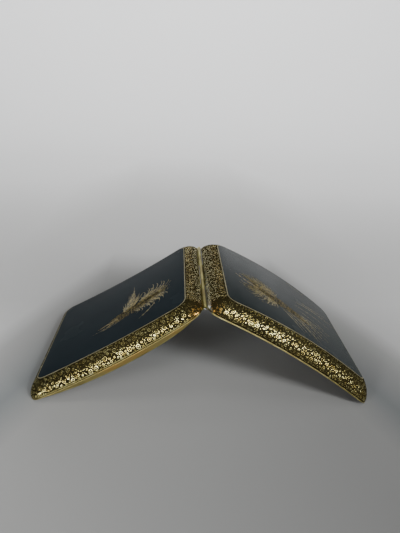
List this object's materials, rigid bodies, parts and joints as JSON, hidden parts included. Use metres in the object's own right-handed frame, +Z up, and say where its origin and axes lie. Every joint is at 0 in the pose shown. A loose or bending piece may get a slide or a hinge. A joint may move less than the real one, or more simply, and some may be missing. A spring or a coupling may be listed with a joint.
{
  "type": "cigarette case",
  "caption": "Curved hinged pocket case in blackened iron with gold inlaid borders and a brass lining, standing open as a tent on its two free edges.",
  "frame": {"origin": "on the surface it stands on, under the middle of the open case", "axes": "+Z up; +Y along the hinge, away from the pictured side; +X across, from the base towards the lid"},
  "size_m": [0.1393, 0.076, 0.0454],
  "materials": {
    "blackened_iron": "smooth blue-black lacquered iron, gold inlay on its border",
    "gilt_brass": "polished gilt brass with soft wear",
    "gold_inlay": "fine gold inlay, worn warm in the hollows",
    "bare_steel": "bright worn steel"
  },
  "bodies": {
    "base": {"base_cover": "blackened_iron", "base_lining": "gilt_brass", "hinge_pin": "bare_steel"},
    "lid": {"lid_cover": "blackened_iron", "lid_lining": "gilt_brass"}
  },
  "joints": [
    {"name": "lid_hinge", "type": "hinge", "parent": "base", "child": "lid", "pos_m": [0, 0, 0.04188], "axis": [0, 1, 0], "range_deg": [0, 117]}
  ]
}
